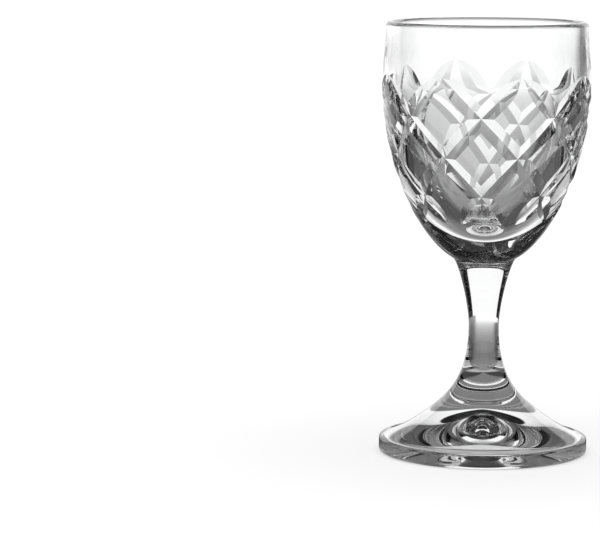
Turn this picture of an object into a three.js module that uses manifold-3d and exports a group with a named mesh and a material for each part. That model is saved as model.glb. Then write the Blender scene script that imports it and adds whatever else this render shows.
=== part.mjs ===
// A stemmed vodka glass in cut crystal, made from three gathers of glass:
// a blown bowl with a wheel-cut lattice, a drawn stem and a cast foot.
// Millimetres, +Z up, the foot's underside on z = 0 and the glass's axis on Z.
import * as THREE from 'three';
import { mergeVertices } from 'three/addons/utils/BufferGeometryUtils.js';
import Module from 'manifold-3d';

const wasm = await Module();
wasm.setup();

// Foot: a thick disc with an upright edge, whose top sweeps up to the stem.
const FOOT_RADIUS = 24.2;
const FOOT_EDGE = 3.5;
const FOOT_EDGE_ROUND = 0.7;
const FOOT_RISE = 9.1;
const FOOT_TOP_RUN = 4.2;
const FOOT_TOP_TILT = 0.8;
const FOOT_SWEEP_RUN = 2.7;
const FOOT_SWEEP_DROP = 2.8;

// Underside of the foot: a narrow flat standing ring round a bell-shaped hollow.
const STANDING_RING = 1.2;
const FOOT_HOLLOW = 6.8;
const HOLLOW_CROWN_RUN = 3.5;
const HOLLOW_BELL_RUN = 9.0;
const HOLLOW_BELL_RISE = 1.9;

// Stem: waisted, and as wide as its neighbours at each fused end.
const STEM_FOOT_RADIUS = 9.2;
const STEM_WAIST_RADIUS = 3.5;
const STEM_BOWL_RADIUS = 7.5;
const STEM_LOWER = 16.8;
const STEM_UPPER = 16.0;
const STEM_LOWER_DRAW = 9.6;
const STEM_UPPER_DRAW = 5.2;
const STEM_TOP_RUN = 1.3;
const STEM_TOP_DROP = 0.5;

// Bowl, outside: a rounded underside, the widest place, and a mouth drawn in a little.
const BOWL_RADIUS = 24.1;
const RIM_RADIUS = 23.3;
const BOWL_LOWER = 40.6;
const BOWL_UPPER = 14.0;
const BOWL_UNDER_RUN = 7.8;
const BOWL_UNDER_RISE = 4.4;
const BOWL_SIDE_DRAW = 18.9;
const BOWL_MOUTH_DRAW = 5.0;

// Bowl, inside: a cone with a rounded end, so the wall is thick low down and thins towards the rim.
const BASE_GLASS = 7.7;
const SIDE_WALL = 2.6;
const RIM_WALL = 2.0;
const CAVITY_FLOOR_RUN = 12.2;
const CAVITY_SIDE_DRAW = 6.0;

// The cut lattice: straight mitre cuts in two mirrored sets that cross all round the bowl.
const CUT_COUNT = 8;
const CUT_DEPTH = 1.2;
const CUT_ANGLE = 110;
const CUT_BELOW_RIM = 8.4;
const CUT_ABOVE_STEM = 10.2;
const CUT_LEAD = 0.632;
const CUT_TURN = 1.962;
const WHEEL_RADIUS = 38;
const WHEEL_OVERRUN = 0.9;

// How finely the round forms are faceted.
const ROUND_STEPS = 64;
const FACET_LENGTH = 3.4;
const FEWEST_FACETS = 4;
const CUT_STEPS = 22;

// Heights of the fused joints and of the rim, from the foot up.
const stemBase = FOOT_EDGE + FOOT_RISE;
const waist = stemBase + STEM_LOWER;
const bowlBase = waist + STEM_UPPER;
const bowlWidest = bowlBase + BOWL_LOWER;
const rim = bowlWidest + BOWL_UPPER;

const point = (r, z) => new THREE.Vector2(r, z);
const bezier = (...points) => new THREE.CubicBezierCurve(...points);

// Revolves an outline, given from the axis and back to it, round Z.
function revolve(outline) {
  const geometry = new THREE.LatheGeometry(outline, ROUND_STEPS);
  geometry.rotateX(Math.PI / 2);
  return geometry;
}

// Joins curves and single points into one outline with no point twice in a row.
function outlineOf(...runs) {
  const facets = (curve) => Math.max(FEWEST_FACETS, Math.ceil(curve.getLength() / FACET_LENGTH));
  const points = runs.flatMap((run) => (run instanceof THREE.Curve ? run.getSpacedPoints(facets(run)) : [run]));
  return points.filter((p, i) => i === 0 || p.distanceTo(points[i - 1]) > 1e-6);
}

// A quarter or half circle from one angle to another, in degrees.
function arc(centre, radius, from, to) {
  const ends = [from, to].map(THREE.MathUtils.degToRad);
  return new THREE.EllipseCurve(centre.x, centre.y, radius, radius, ...ends, to < from);
}

// Hands a closed geometry to the boolean library.
function toSolid(geometry) {
  geometry.deleteAttribute('normal');
  geometry.deleteAttribute('uv');
  const welded = mergeVertices(geometry, 1e-5);
  const corners = welded.index.array;
  const kept = [];
  for (let i = 0; i < corners.length; i += 3) {
    const [a, b, c] = corners.slice(i, i + 3);
    if (a !== b && b !== c && c !== a) kept.push(a, b, c);
  }
  const vertProperties = new Float32Array(welded.attributes.position.array);
  return new wasm.Manifold(new wasm.Mesh({ numProp: 3, vertProperties, triVerts: new Uint32Array(kept) }));
}

// Brings a solid back as three.js geometry.
function toGeometry(solid) {
  const { vertProperties, triVerts } = solid.getMesh();
  const geometry = new THREE.BufferGeometry();
  geometry.setAttribute('position', new THREE.BufferAttribute(vertProperties, 3));
  geometry.setIndex(new THREE.BufferAttribute(triVerts, 1));
  geometry.computeVertexNormals();
  return geometry;
}

// Foot, from the hollow underneath, over the rounded edge, up to the stem.
function makeFoot() {
  const ringInside = FOOT_RADIUS - FOOT_EDGE_ROUND - STANDING_RING;
  const flat = FOOT_RADIUS - FOOT_EDGE_ROUND;
  const hollow = bezier(
    point(0, FOOT_HOLLOW),
    point(HOLLOW_CROWN_RUN, FOOT_HOLLOW),
    point(ringInside - HOLLOW_BELL_RUN, HOLLOW_BELL_RISE),
    point(ringInside, 0),
  );
  const lowerEdge = arc(point(flat, FOOT_EDGE_ROUND), FOOT_EDGE_ROUND, -90, 0);
  const upperEdge = arc(point(flat, FOOT_EDGE - FOOT_EDGE_ROUND), FOOT_EDGE_ROUND, 0, 90);
  const top = bezier(
    point(flat, FOOT_EDGE),
    point(flat - FOOT_TOP_RUN, FOOT_EDGE + FOOT_TOP_TILT),
    point(STEM_FOOT_RADIUS + FOOT_SWEEP_RUN, stemBase - FOOT_SWEEP_DROP),
    point(STEM_FOOT_RADIUS, stemBase),
  );
  return revolve(outlineOf(hollow, lowerEdge, upperEdge, top, point(0, stemBase)));
}

// Stem, a waisted solid that carries on the foot's sweep and meets the bowl at a crease.
function makeStem() {
  const lower = bezier(
    point(STEM_FOOT_RADIUS, stemBase),
    point(STEM_FOOT_RADIUS - FOOT_SWEEP_RUN, stemBase + FOOT_SWEEP_DROP),
    point(STEM_WAIST_RADIUS, waist - STEM_LOWER_DRAW),
    point(STEM_WAIST_RADIUS, waist),
  );
  const upper = bezier(
    point(STEM_WAIST_RADIUS, waist),
    point(STEM_WAIST_RADIUS, waist + STEM_UPPER_DRAW),
    point(STEM_BOWL_RADIUS - STEM_TOP_RUN, bowlBase - STEM_TOP_DROP),
    point(STEM_BOWL_RADIUS, bowlBase),
  );
  return revolve(outlineOf(point(0, stemBase), lower, upper, point(0, bowlBase)));
}

// The bowl's outside from the stem to the rim, which the cuts follow too.
const rimRound = RIM_WALL / 2;
const bowlUnder = bezier(
  point(STEM_BOWL_RADIUS, bowlBase),
  point(STEM_BOWL_RADIUS + BOWL_UNDER_RUN, bowlBase + BOWL_UNDER_RISE),
  point(BOWL_RADIUS, bowlWidest - BOWL_SIDE_DRAW),
  point(BOWL_RADIUS, bowlWidest),
);
const bowlMouth = bezier(
  point(BOWL_RADIUS, bowlWidest),
  point(BOWL_RADIUS, bowlWidest + BOWL_MOUTH_DRAW),
  point(RIM_RADIUS, rim - rimRound - BOWL_MOUTH_DRAW),
  point(RIM_RADIUS, rim - rimRound),
);

// Bowl before cutting: the outside, a round lip, and the inside down to the thick base.
function makeBowlBlank() {
  const cavityFloor = bowlBase + BASE_GLASS;
  const cavityRadius = BOWL_RADIUS - SIDE_WALL;
  const lip = arc(point(RIM_RADIUS - rimRound, rim - rimRound), rimRound, 0, 180);
  const insideMouth = bezier(
    point(RIM_RADIUS - RIM_WALL, rim - rimRound),
    point(RIM_RADIUS - RIM_WALL, rim - rimRound - BOWL_MOUTH_DRAW),
    point(cavityRadius, bowlWidest + BOWL_MOUTH_DRAW),
    point(cavityRadius, bowlWidest),
  );
  const insideFloor = bezier(
    point(cavityRadius, bowlWidest),
    point(cavityRadius, bowlWidest - CAVITY_SIDE_DRAW),
    point(CAVITY_FLOOR_RUN, cavityFloor),
    point(0, cavityFloor),
  );
  return revolve(outlineOf(point(0, bowlBase), bowlUnder, bowlMouth, lip, insideMouth, insideFloor));
}

// Finds how far along the bowl's outside, from 0 to 1, a height lies.
const bowlOutside = new THREE.CurvePath();
bowlOutside.add(bowlUnder);
bowlOutside.add(bowlMouth);
function shareAtHeight(z) {
  let low = 0;
  let high = 1;
  for (let i = 0; i < 40; i += 1) {
    const middle = (low + high) / 2;
    if (bowlOutside.getPointAt(middle).y < z) low = middle;
    else high = middle;
  }
  return low;
}

// One mitre cut as the solid that the wheel's edge sweeps: a V that follows the bowl's skin,
// sinks to full depth along the wheel's own radius, and rises out again at the other end.
function makeCut(firstAngle, hand) {
  const pitch = (2 * Math.PI) / CUT_COUNT;
  const top = shareAtHeight(rim - CUT_BELOW_RIM);
  const bottom = shareAtHeight(bowlBase + CUT_ABOVE_STEM);
  const place = (t) => {
    const skin = bowlOutside.getPointAt(THREE.MathUtils.lerp(top, bottom, t));
    const angle = firstAngle + hand * pitch * (CUT_TURN * t - CUT_LEAD);
    return new THREE.Vector3(skin.x * Math.cos(angle), skin.x * Math.sin(angle), skin.y);
  };
  const outward = (t) => {
    const slope = bowlOutside.getTangentAt(THREE.MathUtils.lerp(top, bottom, t));
    const angle = firstAngle + hand * pitch * (CUT_TURN * t - CUT_LEAD);
    return new THREE.Vector3(slope.y * Math.cos(angle), slope.y * Math.sin(angle), -slope.x);
  };
  const length = place(0).distanceTo(place(0.5)) + place(0.5).distanceTo(place(1));
  const sink = Math.sqrt(2 * WHEEL_RADIUS * CUT_DEPTH);
  const height = CUT_DEPTH + WHEEL_OVERRUN;
  const spread = height * Math.tan(THREE.MathUtils.degToRad(CUT_ANGLE / 2));
  const corners = [];
  for (let i = 0; i <= CUT_STEPS; i += 1) {
    const along = THREE.MathUtils.lerp(-WHEEL_OVERRUN, length + WHEEL_OVERRUN, i / CUT_STEPS);
    const t = along / length;
    const rise = Math.max(0, sink - Math.min(along, length - along));
    const depth = CUT_DEPTH - (rise * rise) / (2 * WHEEL_RADIUS);
    const out = outward(THREE.MathUtils.clamp(t, 0, 1)).normalize();
    const forward = place(t + 0.01).sub(place(t - 0.01)).normalize();
    const across = forward.cross(out).normalize();
    const edge = place(t).addScaledVector(out, -depth);
    corners.push(edge.clone());
    corners.push(edge.clone().addScaledVector(out, height).addScaledVector(across, spread));
    corners.push(edge.clone().addScaledVector(out, height).addScaledVector(across, -spread));
  }
  const faces = [0, 1, 2];
  for (let i = 0; i < CUT_STEPS; i += 1) {
    for (let side = 0; side < 3; side += 1) {
      const a = 3 * i + side;
      const b = 3 * i + ((side + 1) % 3);
      faces.push(a, a + 3, b, b, a + 3, b + 3);
    }
  }
  const last = 3 * CUT_STEPS;
  faces.push(last, last + 2, last + 1);
  const geometry = new THREE.BufferGeometry().setFromPoints(corners);
  geometry.setIndex(faces);
  return toSolid(geometry);
}

// Bowl: the blank with both sets of cuts taken out of it.
function makeBowl() {
  let bowl = toSolid(makeBowlBlank());
  for (let i = 0; i < CUT_COUNT; i += 1) {
    const facing = -Math.PI / 2 + (i * 2 * Math.PI) / CUT_COUNT;
    for (const hand of [1, -1]) bowl = bowl.subtract(makeCut(facing, hand));
  }
  return toGeometry(bowl);
}

// Clear crystal: colourless, polished and not metallic.
function crystal() {
  return new THREE.MeshStandardMaterial({
    color: 0xf2f4f5,
    roughness: 0.03,
    metalness: 0,
    transparent: true,
    opacity: 0.35,
  });
}

function piece(name, geometry) {
  const mesh = new THREE.Mesh(geometry, crystal());
  mesh.name = name;
  return mesh;
}

const glass = new THREE.Group();
glass.add(piece('foot', makeFoot()), piece('stem', makeStem()), piece('bowl', makeBowl()));

export default glass;
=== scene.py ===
# %% [markdown]
# # A vodka glass in cut crystal
#
# This lesson models a small stemmed glass and lights it the way clear glass is
# lit in a studio. The real glass is made from three gathers of hot crystal: a
# cast foot, a drawn stem and a blown bowl. They are fused together, and a
# lattice of V-shaped cuts is then ground into the cold bowl with a wheel.
#
# Clear glass shows nothing of its own. All that is seen is what it bends and
# mirrors, so the inside of the bowl, the hollow under the foot and the studio
# around the glass matter as much as its outline.

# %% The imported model
import math

import bpy
from mathutils import Matrix, Quaternion, Vector


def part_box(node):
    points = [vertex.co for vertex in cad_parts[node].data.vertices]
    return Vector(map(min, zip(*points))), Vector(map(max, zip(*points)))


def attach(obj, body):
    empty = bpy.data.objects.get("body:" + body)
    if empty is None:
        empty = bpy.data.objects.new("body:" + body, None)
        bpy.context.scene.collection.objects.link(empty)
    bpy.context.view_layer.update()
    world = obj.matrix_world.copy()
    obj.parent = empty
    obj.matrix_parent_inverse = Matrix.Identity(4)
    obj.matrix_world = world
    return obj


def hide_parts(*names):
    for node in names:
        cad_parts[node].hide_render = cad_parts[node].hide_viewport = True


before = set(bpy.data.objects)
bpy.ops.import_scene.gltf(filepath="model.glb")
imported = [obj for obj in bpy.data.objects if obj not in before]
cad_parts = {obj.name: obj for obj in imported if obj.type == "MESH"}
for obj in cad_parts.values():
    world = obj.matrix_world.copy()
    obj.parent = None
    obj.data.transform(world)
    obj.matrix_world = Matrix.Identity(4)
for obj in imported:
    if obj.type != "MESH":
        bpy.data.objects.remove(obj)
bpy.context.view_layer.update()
MM = 0.001

# %% [markdown]
# ## The heights that the pieces share
#
# The CAD solids say where the foot ends and the stem begins. The outlines are
# drawn in millimetres, as a glassmaker would, and start from these heights, so
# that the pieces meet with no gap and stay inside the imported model's box.

# %% Heights and widths from the CAD nodes
foot_low, foot_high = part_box("foot")
bowl_low, bowl_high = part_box("bowl")
stem_base = foot_high[2] / MM
bowl_base = bowl_low[2] / MM
rim = bowl_high[2] / MM
foot_radius = (foot_high[0] - foot_low[0]) / MM / 2
bowl_radius = (bowl_high[0] - bowl_low[0]) / MM / 2
print(f"stem from {stem_base:.1f} to {bowl_base:.1f} mm, rim at {rim:.1f} mm")
print(f"foot radius {foot_radius:.1f} mm, bowl radius {bowl_radius:.1f} mm")

# %% [markdown]
# ## Turning an outline into a round piece
#
# Every piece of this glass is round, so each one is drawn as half an outline
# and spun about the axis, like clay on a wheel. A Bezier curve suits glass
# better than a chain of short edges: a few points and their handles hold the
# whole sweep, and the surface stays free of ripples, which refraction would
# show at once. Two neighbouring handles of the Vector kind make a straight run
# that Blender doesn't divide.

# %% Helpers for outlines
OUTLINE_STEPS = 40
SPIN_STEPS = 192
ROUND_HANDLE = 0.5523  # length of the handles that make a quarter circle of radius 1
MERGE_GAP = 0.001
SMOOTH_ANGLE = math.radians(18)


def deselect():
    """Leaves nothing selected, because an operator acts on all that is."""
    bpy.ops.object.select_all(action="DESELECT")


def knot(r, z, back=None, ahead=None):
    """A point of an outline with its handles, in mm; no handle means a straight run."""
    return (r, z), back, ahead


def draw_outline(name, knots):
    """Draws a Bezier curve through the knots in the XZ plane."""
    deselect()
    bpy.ops.curve.primitive_bezier_curve_add()
    curve = bpy.context.object
    curve.name = name
    curve.data.resolution_u = OUTLINE_STEPS
    spline = curve.data.splines[0]
    spline.resolution_u = OUTLINE_STEPS
    spline.bezier_points.add(len(knots) - len(spline.bezier_points))
    for bend, (place, back, ahead) in zip(spline.bezier_points, knots):
        bend.handle_left_type = "FREE" if back else "VECTOR"
        bend.handle_right_type = "FREE" if ahead else "VECTOR"
        bend.co = (place[0] * MM, 0, place[1] * MM)
        if back:
            bend.handle_left = (back[0] * MM, 0, back[1] * MM)
        if ahead:
            bend.handle_right = (ahead[0] * MM, 0, ahead[1] * MM)
    return curve


def spin_outline(curve):
    """Makes the curve a mesh and spins it about the glass's axis into a closed piece."""
    bpy.context.view_layer.objects.active = curve
    bpy.ops.object.convert(target="MESH")
    piece = bpy.context.object
    bpy.ops.object.mode_set(mode="EDIT")
    bpy.ops.mesh.select_all(action="SELECT")
    bpy.ops.mesh.spin(steps=SPIN_STEPS, angle=math.tau, center=(0, 0, 0), axis=(0, 0, 1))
    bpy.ops.mesh.select_all(action="SELECT")
    bpy.ops.mesh.remove_doubles(threshold=MERGE_GAP * MM)
    bpy.ops.mesh.normals_make_consistent(inside=False)
    bpy.ops.object.mode_set(mode="OBJECT")
    print(piece.name, len(piece.data.polygons), "faces,", closed_note(piece))
    return piece


def closed_note(piece):
    """Says whether every edge of a piece has a face on each side."""
    sides = {}
    for face in piece.data.polygons:
        for edge in face.edge_keys:
            sides[edge] = sides.get(edge, 0) + 1
    open_edges = sum(1 for count in sides.values() if count != 2)
    return "closed" if open_edges == 0 else f"{open_edges} open edges"


# %% [markdown]
# ## The foot
#
# The foot is a thick disc. Its top rises to the stem in one sweep, its edge is
# upright with rounded corners, and its underside is drawn up into a hollow
# like a small trumpet bell, so that the glass stands on a narrow flat ring.
# Nobody sees that hollow directly, but its slopes are what make the dark ring
# and the bright crescent in the foot, so they get their own named sizes.

# %% The foot's outline
FOOT_EDGE = 3.5
FOOT_EDGE_ROUND = 0.7
FOOT_TOP_RUN = 4.2
FOOT_TOP_TILT = 0.8
FOOT_SWEEP_RUN = 2.7
FOOT_SWEEP_DROP = 2.8
STANDING_RING = 1.2
HOLLOW_HEIGHT = 6.8
HOLLOW_CROWN_RUN = 3.5
HOLLOW_BELL_RUN = 9.0
HOLLOW_BELL_RISE = 1.9
STEM_FOOT_RADIUS = 9.2

foot_flat = foot_radius - FOOT_EDGE_ROUND
ring_inside = foot_flat - STANDING_RING
edge_bend = ROUND_HANDLE * FOOT_EDGE_ROUND
edge_low = FOOT_EDGE_ROUND
edge_top = FOOT_EDGE - FOOT_EDGE_ROUND
foot_outline = [
    knot(0, HOLLOW_HEIGHT, ahead=(HOLLOW_CROWN_RUN, HOLLOW_HEIGHT)),
    knot(ring_inside, 0, back=(ring_inside - HOLLOW_BELL_RUN, HOLLOW_BELL_RISE)),
    knot(foot_flat, 0, ahead=(foot_flat + edge_bend, 0)),
    knot(foot_radius, edge_low, back=(foot_radius, edge_low - edge_bend)),
    knot(foot_radius, edge_top, ahead=(foot_radius, edge_top + edge_bend)),
    knot(
        foot_flat,
        FOOT_EDGE,
        back=(foot_flat + edge_bend, FOOT_EDGE),
        ahead=(foot_flat - FOOT_TOP_RUN, FOOT_EDGE + FOOT_TOP_TILT),
    ),
    knot(
        STEM_FOOT_RADIUS,
        stem_base,
        back=(STEM_FOOT_RADIUS + FOOT_SWEEP_RUN, stem_base - FOOT_SWEEP_DROP),
    ),
    knot(0, stem_base),
]
crystal_foot = spin_outline(draw_outline("crystal_foot", foot_outline))

# %% [markdown]
# ## The stem
#
# A stem is drawn out of hot glass, so it is thin in the middle and flows into
# its neighbours. At the foot it carries on the foot's own sweep, with handles
# that lie on one line. At the bowl it meets the bowl's underside at a crease.

# %% The stem's outline
STEM_WAIST_RADIUS = 3.5
STEM_LOWER = 16.8
STEM_LOWER_DRAW = 9.6
STEM_UPPER_DRAW = 5.2
STEM_BOWL_RADIUS = 7.5
STEM_TOP_RUN = 1.3
STEM_TOP_DROP = 0.5

waist = stem_base + STEM_LOWER
stem_outline = [
    knot(0, stem_base),
    knot(
        STEM_FOOT_RADIUS,
        stem_base,
        ahead=(STEM_FOOT_RADIUS - FOOT_SWEEP_RUN, stem_base + FOOT_SWEEP_DROP),
    ),
    knot(
        STEM_WAIST_RADIUS,
        waist,
        back=(STEM_WAIST_RADIUS, waist - STEM_LOWER_DRAW),
        ahead=(STEM_WAIST_RADIUS, waist + STEM_UPPER_DRAW),
    ),
    knot(
        STEM_BOWL_RADIUS,
        bowl_base,
        back=(STEM_BOWL_RADIUS - STEM_TOP_RUN, bowl_base - STEM_TOP_DROP),
    ),
    knot(0, bowl_base),
]
crystal_stem = spin_outline(draw_outline("crystal_stem", stem_outline))

# %% [markdown]
# ## The bowl before cutting
#
# A blown bowl has thick glass under the drink and a wall that thins towards a
# round, melted lip. The cavity narrows faster than the outside does, almost
# like a cone, which is what gathers the black band and the bright crescent
# in the base. Inside and outside are one closed outline, so the wall is real
# glass and bends light twice.

# %% The bowl's outline
RIM_RADIUS = 23.3
BOWL_LOWER = 40.6
BOWL_UNDER_RUN = 7.8
BOWL_UNDER_RISE = 4.4
BOWL_SIDE_DRAW = 18.9
BOWL_MOUTH_DRAW = 5.0
BASE_GLASS = 7.7
SIDE_WALL = 2.6
RIM_WALL = 2.0
CAVITY_FLOOR_RUN = 12.2
CAVITY_SIDE_DRAW = 6.0

bowl_widest = bowl_base + BOWL_LOWER
lip_round = RIM_WALL / 2
lip_base = rim - lip_round
lip_bend = ROUND_HANDLE * lip_round
cavity_radius = bowl_radius - SIDE_WALL
cavity_floor = bowl_base + BASE_GLASS
skin_knots = [
    knot(
        STEM_BOWL_RADIUS,
        bowl_base,
        ahead=(STEM_BOWL_RADIUS + BOWL_UNDER_RUN, bowl_base + BOWL_UNDER_RISE),
    ),
    knot(
        bowl_radius,
        bowl_widest,
        back=(bowl_radius, bowl_widest - BOWL_SIDE_DRAW),
        ahead=(bowl_radius, bowl_widest + BOWL_MOUTH_DRAW),
    ),
    knot(
        RIM_RADIUS,
        lip_base,
        back=(RIM_RADIUS, lip_base - BOWL_MOUTH_DRAW),
        ahead=(RIM_RADIUS, lip_base + lip_bend),
    ),
]
lip_knots = [
    knot(
        RIM_RADIUS - lip_round,
        rim,
        back=(RIM_RADIUS - lip_round + lip_bend, rim),
        ahead=(RIM_RADIUS - lip_round - lip_bend, rim),
    ),
]
cavity_knots = [
    knot(
        RIM_RADIUS - RIM_WALL,
        lip_base,
        back=(RIM_RADIUS - RIM_WALL, lip_base + lip_bend),
        ahead=(RIM_RADIUS - RIM_WALL, lip_base - BOWL_MOUTH_DRAW),
    ),
    knot(
        cavity_radius,
        bowl_widest,
        back=(cavity_radius, bowl_widest + BOWL_MOUTH_DRAW),
        ahead=(cavity_radius, bowl_widest - CAVITY_SIDE_DRAW),
    ),
    knot(0, cavity_floor, back=(CAVITY_FLOOR_RUN, cavity_floor)),
]
bowl_outline = [knot(0, bowl_base)] + skin_knots + lip_knots + cavity_knots
crystal_bowl = spin_outline(draw_outline("crystal_bowl", bowl_outline))

# %% [markdown]
# ## Measuring along the bowl's skin
#
# The cutter marks the bowl with a tape: each cut turns round the bowl by the
# same amount for every millimetre that it runs down the skin. So the outside
# is walked once, and a short table of lengths gives the radius, the height
# and the slope at any distance from the stem.

# %% The skin as a tape measure
SKIN_STEPS = 200


def bezier_at(start, bend_start, bend_end, end, t):
    """A point on a cubic Bezier run."""
    keep = 1 - t
    shares = (keep**3, 3 * keep * keep * t, 3 * keep * t * t, t**3)
    points = (start, bend_start, bend_end, end)
    return Vector([sum(s * p[i] for s, p in zip(shares, points)) for i in (0, 1)])


skin = []
for (start, _, bend_start), (end, bend_end, _) in zip(skin_knots, skin_knots[1:]):
    first = 1 if skin else 0
    for i in range(first, SKIN_STEPS + 1):
        skin.append(bezier_at(start, bend_start, bend_end, end, i / SKIN_STEPS))
tape = [0.0]
for here, there in zip(skin, skin[1:]):
    tape.append(tape[-1] + (there - here).length)


def skin_at(length):
    """Radius, height and direction of the skin at a length from the stem."""
    length = min(max(length, tape[0]), tape[-1])
    i = max(k for k in range(len(tape) - 1) if tape[k] <= length)
    share = (length - tape[i]) / (tape[i + 1] - tape[i])
    return skin[i].lerp(skin[i + 1], share), (skin[i + 1] - skin[i]).normalized()


def length_at_height(z):
    """How far along the skin a height lies."""
    i = max(k for k in range(len(skin) - 1) if skin[k].y <= z)
    share = (z - skin[i].y) / (skin[i + 1].y - skin[i].y)
    return tape[i] + share * (tape[i + 1] - tape[i])


print(f"the skin is {tape[-1]:.1f} mm long from stem to lip")

# %% [markdown]
# ## One mitre cut
#
# The wheel has a V-shaped edge. Pressed against the bowl it sinks in along its
# own radius, follows a slanting line and rises out again, so a cut is a trench
# that narrows to a point at both ends. The tool for a Boolean is the shape
# that the wheel sweeps: a three-sided prism, divided along its length, with
# each ring then set on the line. Rings are placed in code because the line
# curves two ways at once, which no single operator follows.

# %% The wheel's swept shape
CUT_COUNT = 8
CUT_DEPTH = 0.75
CUT_ANGLE = math.radians(145)
CUT_BELOW_RIM = 11.8
CUT_ABOVE_STEM = 9.2
CUT_LEAD = 0.477
CUT_TURN = 1.848
WHEEL_RADIUS = 24.0
WHEEL_OVERRUN = 0.9
CUT_RINGS = 64
BLANK_LENGTH = 2.0
AIM_STEP = 0.01

pitch = math.tau / CUT_COUNT
cut_top = length_at_height(rim - CUT_BELOW_RIM)
cut_bottom = length_at_height(bowl_base + CUT_ABOVE_STEM)


def cut_line(t, hand):
    """Place on the skin and outward direction at a share t of the cut's way down."""
    place, slope = skin_at(cut_top + (cut_bottom - cut_top) * t)
    turn = -math.tau / 4 + hand * pitch * (CUT_TURN * t - CUT_LEAD)
    round_way = Vector((math.cos(turn), math.sin(turn), 0))
    outward = round_way * slope.y - Vector((0, 0, slope.x))
    return round_way * place.x + Vector((0, 0, place.y)), outward.normalized()


def make_cutter(hand):
    """The prism that one cut takes away; hand 1 leans one way and -1 the other."""
    deselect()
    bpy.ops.mesh.primitive_cylinder_add(vertices=3, radius=CUT_DEPTH * MM, depth=BLANK_LENGTH * MM)
    cutter = bpy.context.object
    bpy.ops.object.mode_set(mode="EDIT")
    bpy.ops.mesh.select_mode(type="EDGE")
    bpy.ops.mesh.select_all(action="DESELECT")
    bpy.ops.object.mode_set(mode="OBJECT")
    corners = cutter.data.vertices
    for edge in cutter.data.edges:
        low, high = sorted(corners[v].co.z for v in edge.vertices)
        edge.select = high - low > BLANK_LENGTH / 2 * MM
    bpy.ops.object.mode_set(mode="EDIT")
    bpy.ops.mesh.subdivide(number_cuts=CUT_RINGS - 1)
    bpy.ops.object.mode_set(mode="OBJECT")
    half = (cut_line(0, hand)[0] - cut_line(0.5, hand)[0]).length
    length = half + (cut_line(0.5, hand)[0] - cut_line(1, hand)[0]).length
    sink = math.sqrt(2 * WHEEL_RADIUS * CUT_DEPTH)
    tall = CUT_DEPTH + WHEEL_OVERRUN
    wide = tall * math.tan(CUT_ANGLE / 2)
    start_angles = sorted({round(math.atan2(v.co.y, v.co.x), 3) for v in corners})
    for v in corners:
        share = v.co.z / (BLANK_LENGTH * MM) + 0.5
        along = -WHEEL_OVERRUN + share * (length + 2 * WHEEL_OVERRUN)
        t = along / length
        rise = max(0.0, sink - min(along, length - along))
        depth = CUT_DEPTH - rise * rise / (2 * WHEEL_RADIUS)
        place, outward = cut_line(t, hand)
        ahead = (cut_line(t + AIM_STEP, hand)[0] - cut_line(t - AIM_STEP, hand)[0]).normalized()
        across = ahead.cross(outward).normalized()
        corner = start_angles.index(round(math.atan2(v.co.y, v.co.x), 3))
        edge = place - outward * depth
        if corner == 1:
            edge = edge + outward * tall + across * wide
        if corner == 2:
            edge = edge + outward * tall - across * wide
        v.co = edge * MM
    bpy.ops.object.mode_set(mode="EDIT")
    bpy.ops.mesh.select_all(action="SELECT")
    bpy.ops.mesh.normals_make_consistent(inside=False)
    bpy.ops.object.mode_set(mode="OBJECT")
    return cutter


cutters = {hand: make_cutter(hand) for hand in (1, -1)}
print("cutter:", len(cutters[1].data.polygons), "faces,", closed_note(cutters[1]))

# %% [markdown]
# ## Three finishes of one glass
#
# The melted surfaces of foot, stem and bowl are fire polished: quite smooth,
# with the faintest waves from the tools. The cuts are ground and polished
# again, so they are crisper but keep a trace of fine lines. Both finishes
# come from one node group that puts out a height for the Bump node, a
# roughness and a tint, each with its own values. The flat faces where two
# gathers are fused don't exist as surfaces in the real glass, so they get a
# third material that lets all light through.

# %% A node group for polished crystal
WAVE_DETAIL = 2.0
LINE_DETAIL = 3.0
CLEAR = (1.0, 1.0, 1.0, 1.0)
FAINTLY_COOL = (0.985, 0.99, 0.99, 1.0)


def link(tree, source, target):
    """Joins an output to an input."""
    tree.links.new(source, target)


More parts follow.
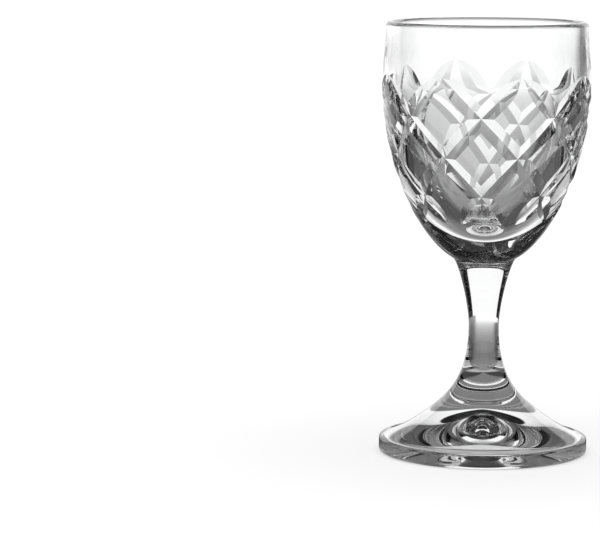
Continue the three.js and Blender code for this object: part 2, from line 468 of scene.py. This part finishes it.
def polish_group():
    """Waves, haze and tint of polished crystal, from the piece's own coordinates."""
    group = bpy.data.node_groups.new("crystal polish", "ShaderNodeTree")
    for name in ("Wave Scale", "Line Scale", "Haze", "Line Share"):
        group.interface.new_socket(name, in_out="INPUT", socket_type="NodeSocketFloat")
    for name in ("Height", "Roughness"):
        group.interface.new_socket(name, in_out="OUTPUT", socket_type="NodeSocketFloat")
    group.interface.new_socket("Tint", in_out="OUTPUT", socket_type="NodeSocketColor")
    nodes = group.nodes
    inside = nodes.new("NodeGroupInput")
    outside = nodes.new("NodeGroupOutput")
    place = nodes.new("ShaderNodeTexCoord")
    waves = nodes.new("ShaderNodeTexNoise")
    waves.inputs["Detail"].default_value = WAVE_DETAIL
    lines = nodes.new("ShaderNodeTexNoise")
    lines.inputs["Detail"].default_value = LINE_DETAIL
    both = nodes.new("ShaderNodeMix")
    haze = nodes.new("ShaderNodeMath")
    haze.operation = "MULTIPLY"
    tint = nodes.new("ShaderNodeMix")
    tint.data_type = "RGBA"
    tint.inputs["A"].default_value = CLEAR
    tint.inputs["B"].default_value = FAINTLY_COOL
    link(group, place.outputs["Object"], waves.inputs["Vector"])
    link(group, place.outputs["Object"], lines.inputs["Vector"])
    link(group, inside.outputs["Wave Scale"], waves.inputs["Scale"])
    link(group, inside.outputs["Line Scale"], lines.inputs["Scale"])
    link(group, inside.outputs["Line Share"], both.inputs["Factor"])
    link(group, waves.outputs["Fac"], both.inputs["A"])
    link(group, lines.outputs["Fac"], both.inputs["B"])
    link(group, lines.outputs["Fac"], haze.inputs[0])
    link(group, inside.outputs["Haze"], haze.inputs[1])
    link(group, waves.outputs["Fac"], tint.inputs["Factor"])
    link(group, both.outputs["Result"], outside.inputs["Height"])
    link(group, haze.outputs["Value"], outside.inputs["Roughness"])
    link(group, tint.outputs["Result"], outside.inputs["Tint"])
    return group


polish = polish_group()
print("node group:", polish.name)

# %% The crystal materials
CRYSTAL_IOR = 1.545


def crystal(name, wave_scale, line_scale, haze, line_share, bump):
    """Clear crystal with its own share of waves and fine lines."""
    material = bpy.data.materials.new(name)
    material.use_nodes = True
    tree = material.node_tree
    glass = tree.nodes["Principled BSDF"]
    glass.inputs["Transmission Weight"].default_value = 1.0
    glass.inputs["IOR"].default_value = CRYSTAL_IOR
    glass.inputs["Metallic"].default_value = 0.0
    marks = tree.nodes.new("ShaderNodeGroup")
    marks.node_tree = polish
    marks.inputs["Wave Scale"].default_value = wave_scale
    marks.inputs["Line Scale"].default_value = line_scale
    marks.inputs["Haze"].default_value = haze
    marks.inputs["Line Share"].default_value = line_share
    relief = tree.nodes.new("ShaderNodeBump")
    relief.inputs["Strength"].default_value = 1.0
    relief.inputs["Distance"].default_value = bump * MM
    link(tree, marks.outputs["Tint"], glass.inputs["Base Color"])
    link(tree, marks.outputs["Roughness"], glass.inputs["Roughness"])
    link(tree, marks.outputs["Height"], relief.inputs["Height"])
    link(tree, relief.outputs["Normal"], glass.inputs["Normal"])
    return material


def fused_joint():
    """The faces where two gathers are one glass: nothing to see."""
    material = bpy.data.materials.new("fused joint")
    material.use_nodes = True
    glass = material.node_tree.nodes["Principled BSDF"]
    glass.inputs["Base Color"].default_value = CLEAR
    glass.inputs["Alpha"].default_value = 0.0
    return material


fire_polished = crystal(
    "fire polished crystal",
    wave_scale=90.0,
    line_scale=700.0,
    haze=0.02,
    line_share=0.05,
    bump=0.01,
)
wheel_cut = crystal(
    "wheel cut crystal",
    wave_scale=120.0,
    line_scale=2500.0,
    haze=0.03,
    line_share=0.1,
    bump=0.005,
)
joint = fused_joint()
print("materials:", fire_polished.name, "/", wheel_cut.name, "/", joint.name)

# %% [markdown]
# ## Cutting the lattice
#
# One cutter of each hand is copied eight times round the bowl. Each copy is
# taken away with a Boolean, one after another, because the cutters cross one
# another and the solver wants each of them clean. The cutters carry the
# material of the cuts, and the Boolean hands it to the faces that it makes.

# %% Sixteen Booleans
def cut_bowl(bowl, cutter, turn):
    """Takes one turned copy of a cutter out of the bowl."""
    tool = cutter.copy()
    tool.data = cutter.data.copy()
    tool.data.transform(Matrix.Rotation(turn, 4, "Z"))
    bpy.context.collection.objects.link(tool)
    deselect()
    bowl.select_set(True)
    bpy.context.view_layer.objects.active = bowl
    cut = bowl.modifiers.new("mitre cut", "BOOLEAN")
    cut.operation = "DIFFERENCE"
    cut.solver = "MANIFOLD"
    cut.material_mode = "TRANSFER"
    cut.object = tool
    bpy.ops.object.modifier_apply(modifier=cut.name)
    bpy.data.objects.remove(tool, do_unlink=True)


crystal_bowl.data.materials.clear()
crystal_bowl.data.materials.append(fire_polished)
for cutter in cutters.values():
    cutter.data.materials.clear()
    cutter.data.materials.append(wheel_cut)
for cutter in cutters.values():
    for i in range(CUT_COUNT):
        cut_bowl(crystal_bowl, cutter, i * pitch)
for cutter in cutters.values():
    bpy.data.objects.remove(cutter, do_unlink=True)
print("cut bowl:", len(crystal_bowl.data.polygons), "faces,", closed_note(crystal_bowl))
print("slots:", [m.name if m else None for m in crystal_bowl.data.materials])

# %% [markdown]
# ## Finishing the three pieces
#
# The foot and stem get the fire-polished finish, and the flat joint faces of
# all three pieces get the material of fused glass. They are found by their
# place: every corner of such a face lies at the joint's height. Shading is
# smooth except where faces meet at a real edge, such as the cuts' ridges.

# %% Materials, joints and smooth shading
def finish_piece(piece, joint_heights):
    """Hides the fused faces and shades the piece smoothly up to its real edges."""
    mesh = piece.data
    mesh.materials.append(joint)
    hidden = len(mesh.materials) - 1
    fused = 0
    for face in mesh.polygons:
        heights = [mesh.vertices[v].co.z / MM for v in face.vertices]
        if any(max(abs(z - level) for z in heights) < MERGE_GAP for level in joint_heights):
            face.material_index = hidden
            fused += 1
    deselect()
    piece.select_set(True)
    bpy.context.view_layer.objects.active = piece
    bpy.ops.object.shade_smooth_by_angle(angle=SMOOTH_ANGLE)
    print(piece.name, "has", fused, "fused faces")


for piece in (crystal_foot, crystal_stem):
    piece.data.materials.clear()
    piece.data.materials.append(fire_polished)
finish_piece(crystal_foot, [stem_base])
finish_piece(crystal_stem, [stem_base, bowl_base])
finish_piece(crystal_bowl, [bowl_base])

# %% [markdown]
# ## Handing the pieces to the frame
#
# Nothing on a glass moves, so all three pieces ride on the one body. Each one
# stands for its CAD solid, which is hidden.

# %% Bodies and nodes
for piece, node, slot in (
    (crystal_foot, "foot", "crystal"),
    (crystal_stem, "stem", "crystal"),
    (crystal_bowl, "bowl", "cut_crystal"),
):
    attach(piece, "root")
    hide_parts(node)
    print(piece.name, "stands for", node)

# %% [markdown]
# ## The floor
#
# Glass is lit by what it reflects and bends, so the floor does two jobs. The
# camera sees a plain white sheet with the glass's soft shadow on it. The glass
# sees a glow with painted light and shade: a painted pool of light far behind
# the glass, and painted shade that falls off towards the glass, under the foot
# and to both sides, painted as a table lit from behind would look. Light Path
# tells camera and glass apart.
#
# Far off, the painted bright part is wider and lies more to the left, which
# keeps the rim's left edge white and its right edge softly grey. In front of the
# glass the painted glow is light again, for the views from the back. A few
# helpers for Math nodes come first.

# %% Helpers for light
def math_node(tree, operation, first, second=None):
    """A Math node fed by outputs or plain numbers."""
    node = tree.nodes.new("ShaderNodeMath")
    node.operation = operation
    for socket, value in zip(node.inputs, (first, second)):
        if isinstance(value, (int, float)):
            socket.default_value = value
        elif value is not None:
            link(tree, value, socket)
    return node.outputs["Value"]


def fade_node(tree, value, start, end):
    """1 before start and 0 after end, with a soft change between them."""
    node = tree.nodes.new("ShaderNodeMapRange")
    node.interpolation_type = "SMOOTHSTEP"
    node.inputs["From Min"].default_value = start
    node.inputs["From Max"].default_value = end
    node.inputs["To Min"].default_value = 1.0
    node.inputs["To Max"].default_value = 0.0
    link(tree, value, node.inputs["Value"])
    return node.outputs["Result"]


BACK_AZIMUTH = math.radians(6.9)


def turn_from_back(tree, vector, middle=BACK_AZIMUTH):
    """Angle on plan between a direction and a middle line behind the glass, and its rise."""
    parts = tree.nodes.new("ShaderNodeSeparateXYZ")
    link(tree, vector, parts.inputs["Vector"])
    turn = math_node(tree, "ARCTAN2", parts.outputs["X"], parts.outputs["Y"])
    return math_node(tree, "ABSOLUTE", math_node(tree, "ADD", turn, middle)), parts.outputs["Z"]


# %% A white sheet with painted shade towards the glass
FLOOR_SIZE = 8.0
FLOOR_DROP = 0.03
# Painted shade: the glow for the glass is darkest near the glass and brightest far off, a painted
# pool of light.
PAINTED_FLOOR_SHADE = (  # distance from the axis in mm, and the brightness there
    (30.0, 0.22),
    (55.0, 0.18),
    (72.0, 0.25),
    (90.0, 0.25),
    (120.0, 0.29),
    (200.0, 0.56),
    (400.0, 0.96),
    (700.0, 1.15),
)
FADE_REACH = PAINTED_FLOOR_SHADE[-1][0]
# Painted light behind the glass, painted shade to the sides, and a lighter painted level in front.
FLOOR_BRIGHT_TURN = math.radians(18)
FLOOR_DARK_TURN = math.radians(44)
FAR_AZIMUTH = math.radians(20)
FAR_BRIGHT_TURN = math.radians(33)
FAR_DARK_TURN = math.radians(52)
FAR_FROM = 250.0
FAR_TO = 450.0
FRONT_FROM_TURN = math.radians(68)
FRONT_TO_TURN = math.radians(92)
FLOOR_SIDES = 0.26
FLOOR_IN_FRONT = 0.85
# Painted shade under the foot, in front of the glass.
PAINTED_SHADE_UNDER_FOOT = 0.5
UNDER_FOOT_FROM = 28.0
UNDER_FOOT_TO = 56.0
CAMERA_GLOW = 0.5
SHEET_WHITE = 0.9


def painted_floor_glow(tree):
    """The sheet's painted glow as the glass sees it: painted shade near the glass, painted light
    far behind.
    """
    place = tree.nodes.new("ShaderNodeTexCoord").outputs["Object"]
    length = tree.nodes.new("ShaderNodeVectorMath")
    length.operation = "LENGTH"
    link(tree, place, length.inputs[0])
    away = length.outputs["Value"]
    # Painted shade by distance from the glass's axis.
    fade = tree.nodes.new("ShaderNodeValToRGB")
    stops = fade.color_ramp.elements
    while len(stops) < len(PAINTED_FLOOR_SHADE):
        stops.new(0.5)
    brightest = max(level for _, level in PAINTED_FLOOR_SHADE)
    for stop, (radius, level) in zip(stops, PAINTED_FLOOR_SHADE):
        stop.position = radius / FADE_REACH
        stop.color = [level / brightest] * 3 + [1.0]
    link(tree, math_node(tree, "DIVIDE", away, FADE_REACH * MM), fade.inputs["Fac"])
    turn, _ = turn_from_back(tree, place)
    near = fade_node(tree, turn, FLOOR_BRIGHT_TURN, FLOOR_DARK_TURN)
    far_turn, _ = turn_from_back(tree, place, FAR_AZIMUTH)
    far = fade_node(tree, far_turn, FAR_BRIGHT_TURN, FAR_DARK_TURN)
    near_share = fade_node(tree, away, FAR_FROM * MM, FAR_TO * MM)
    far_share = math_node(tree, "SUBTRACT", 1.0, near_share)
    near = math_node(tree, "MULTIPLY", near, near_share)
    far = math_node(tree, "MULTIPLY", far, far_share)
    behind = math_node(tree, "ADD", near, far)
    not_front = fade_node(tree, turn, FRONT_FROM_TURN, FRONT_TO_TURN)
    in_front = math_node(tree, "SUBTRACT", 1.0, not_front)
    by_distance = math_node(tree, "MULTIPLY", fade.outputs["Color"], brightest)
    # Painted shade: the front glow is lowered near the foot.
    painted_shade_near_foot = fade_node(tree, away, UNDER_FOOT_FROM * MM, UNDER_FOOT_TO * MM)
    painted_shade_near_foot = math_node(tree, "MULTIPLY", painted_shade_near_foot, FLOOR_IN_FRONT - PAINTED_SHADE_UNDER_FOOT)
    front_level = math_node(tree, "SUBTRACT", FLOOR_IN_FRONT, painted_shade_near_foot)
    in_front = math_node(tree, "MULTIPLY", in_front, front_level)
    spread = math_node(tree, "MAXIMUM", behind, FLOOR_SIDES)
    level = math_node(tree, "MAXIMUM", math_node(tree, "MULTIPLY", spread, by_distance), in_front)
    glow = tree.nodes.new("ShaderNodeEmission")
    link(tree, level, glow.inputs["Strength"])
    return glow.outputs["Emission"]


def diffuse(tree, level):
    """A plain matt white."""
    node = tree.nodes.new("ShaderNodeBsdfDiffuse")
    node.inputs["Color"].default_value = (level, level, level, 1.0)
    return node.outputs["BSDF"]


def mix_shaders(tree, factor, first, second):
    """The first shader at factor 0 and the second at 1."""
    node = tree.nodes.new("ShaderNodeMixShader")
    if isinstance(factor, float):
        node.inputs["Fac"].default_value = factor
    else:
        link(tree, factor, node.inputs["Fac"])
    link(tree, first, node.inputs[1])
    link(tree, second, node.inputs[2])
    return node.outputs["Shader"]


def floor_material():
    """White with a soft shadow for the camera, and painted light and shade for the glass."""
    material = bpy.data.materials.new("white sheet")
    material.use_nodes = True
    tree = material.node_tree
    tree.nodes.clear()
    out = tree.nodes.new("ShaderNodeOutputMaterial")
    path = tree.nodes.new("ShaderNodeLightPath")
    for_glass = painted_floor_glow(tree)
    white = tree.nodes.new("ShaderNodeEmission").outputs["Emission"]
    for_camera = mix_shaders(tree, CAMERA_GLOW, diffuse(tree, SHEET_WHITE), white)
    sheet = mix_shaders(tree, path.outputs["Is Camera Ray"], for_glass, for_camera)
    link(tree, sheet, out.inputs["Surface"])
    return material


deselect()
bpy.ops.mesh.primitive_plane_add(size=FLOOR_SIZE, location=(0, 0, -FLOOR_DROP * MM))
floor = bpy.context.object
floor.name = "white sheet"
floor.data.materials.append(floor_material())
print("floor:", FLOOR_SIZE, "m wide")

# %% [markdown]
# ## The studio round the glass
#
# A glass in front of one endless white wall would almost vanish. So the studio
# has a bright panel behind the glass that ends at a set height and width, with
# dark beyond it. Rays that the glass bends past the panel's edges turn black,
# and those are the dark lines that draw a glass. Dimmer panels stand on the
# other sides, so that the glass also reads when the camera walks round it.

# %% Panels in the world
PANEL_LIGHT = 1.3
PANEL_HALF_WIDTH = math.radians(38)
PANEL_SIDE_FADE = math.radians(3)
PANEL_TOP = math.radians(26)
PANEL_TOP_FADE = math.radians(3)
OTHER_HALF_WIDTH = math.radians(25)
OTHER_SIDE_FADE = math.radians(8)
SIDE_PANELS = 0.16
FACING_PANEL = 0.5
DARK_CEILING = 0.012


def panel(tree, off_centre, half_width, soft, level):
    """One panel's light by the angle from its centre line."""
    window = fade_node(tree, off_centre, half_width - soft / 2, half_width + soft / 2)
    return math_node(tree, "MULTIPLY", window, level)


def build_world():
    """White for the camera; panels, dark gaps and a dark ceiling for the glass."""
    world = bpy.data.worlds.new("studio")
    bpy.context.scene.world = world
    world.use_nodes = True
    tree = world.node_tree
    tree.nodes.clear()
    out = tree.nodes.new("ShaderNodeOutputWorld")
    path = tree.nodes.new("ShaderNodeLightPath")
    turn, rise = turn_from_back(tree, tree.nodes.new("ShaderNodeTexCoord").outputs["Generated"])
    from_side = math_node(tree, "ABSOLUTE", math_node(tree, "SUBTRACT", turn, math.tau / 4))
    from_front = math_node(tree, "SUBTRACT", math.tau / 2, turn)
    back = panel(tree, turn, PANEL_HALF_WIDTH, PANEL_SIDE_FADE, PANEL_LIGHT)
    sides = panel(tree, from_side, OTHER_HALF_WIDTH, OTHER_SIDE_FADE, SIDE_PANELS)
    facing = panel(tree, from_front, OTHER_HALF_WIDTH, OTHER_SIDE_FADE, FACING_PANEL)
    wall = math_node(tree, "MAXIMUM", back, math_node(tree, "MAXIMUM", sides, facing))
    height = math_node(tree, "ARCSINE", rise)
    half_top = PANEL_TOP_FADE / 2
    below_top = fade_node(tree, height, PANEL_TOP - half_top, PANEL_TOP + half_top)
    above_top = math_node(tree, "SUBTRACT", 1.0, below_top)
    lit = math_node(tree, "MULTIPLY", wall, below_top)
    for_glass = math_node(tree, "ADD", lit, math_node(tree, "MULTIPLY", above_top, DARK_CEILING))
    camera_ray = path.outputs["Is Camera Ray"]
    other_ray = math_node(tree, "SUBTRACT", 1.0, camera_ray)
    for_all = math_node(tree, "ADD", math_node(tree, "MULTIPLY", for_glass, other_ray), camera_ray)
    light = tree.nodes.new("ShaderNodeBackground")
    link(tree, for_all, light.inputs["Strength"])
    link(tree, light.outputs["Background"], out.inputs["Surface"])
    return world


print("world:", build_world().name)

# %% [markdown]
# ## A soft light for the floor
#
# One broad light comes from overhead. It lights the sheet evenly and gives the
# soft shadow under the foot. It is hidden from glossy and bent rays, because
# the studio's ceiling is dark in the glass.

# %% The overhead light
SUN_STRENGTH = 3.5
SUN_SOFTNESS = math.radians(80)

deselect()
bpy.ops.object.light_add(type="SUN", location=(0, 0, 1))
overhead = bpy.context.object
overhead.name = "overhead light"
overhead.data.energy = SUN_STRENGTH
overhead.data.angle = SUN_SOFTNESS
overhead.visible_camera = False
overhead.visible_glossy = False
overhead.visible_transmission = False
print("overhead light:", SUN_STRENGTH)

# %% [markdown]
# ## The camera
#
# The glass fills the right half of the frame, seen a little from above with a
# long lens. The camera stands where the ellipses of rim and foot open as far
# as they should, and is turned a little to the left of the glass.

# %% Place, lens and aim
CAMERA_DISTANCE = 0.660
CAMERA_HEIGHT = 0.128
CAMERA_AZIMUTH = math.radians(2.9)
CAMERA_PITCH = math.radians(-7.37)
CAMERA_YAW = math.radians(3.72)
CAMERA_ROLL = math.radians(0.22)
CAMERA_LENS = 171.6
SENSOR_WIDTH = 36.0
NEAR_CLIP = 0.01

east = CAMERA_DISTANCE * math.sin(CAMERA_AZIMUTH)
north = -CAMERA_DISTANCE * math.cos(CAMERA_AZIMUTH)
deselect()
bpy.ops.object.camera_add(location=(east, north, CAMERA_HEIGHT))
camera = bpy.context.object
camera.data.lens = CAMERA_LENS
camera.data.sensor_width = SENSOR_WIDTH
camera.data.clip_start = NEAR_CLIP
heading = math.atan2(-north, -east) + CAMERA_YAW
aim = Vector(
    (
        math.cos(heading) * math.cos(CAMERA_PITCH),
        math.sin(heading) * math.cos(CAMERA_PITCH),
        math.sin(CAMERA_PITCH),
    )
)
camera.rotation_mode = "QUATERNION"
camera.rotation_quaternion = aim.to_track_quat("-Z", "Y") @ Quaternion((0, 0, 1), CAMERA_ROLL)
bpy.context.scene.camera = camera
print("camera:", CAMERA_LENS, "mm lens at", CAMERA_DISTANCE, "m")

# %% [markdown]
# ## Colour and light paths
#
# The Standard view keeps white white. Light crosses many glass surfaces before
# it leaves, so it is allowed more bounces than usual.

# %% View transform and bounces
GLASS_BOUNCES = 32
MIRROR_BOUNCES = 16
JOINT_BOUNCES = 64

scene = bpy.context.scene
scene.view_settings.view_transform = "Standard"
scene.cycles.max_bounces = GLASS_BOUNCES
scene.cycles.transmission_bounces = GLASS_BOUNCES
scene.cycles.glossy_bounces = MIRROR_BOUNCES
scene.cycles.transparent_max_bounces = JOINT_BOUNCES
print("bounces:", GLASS_BOUNCES)
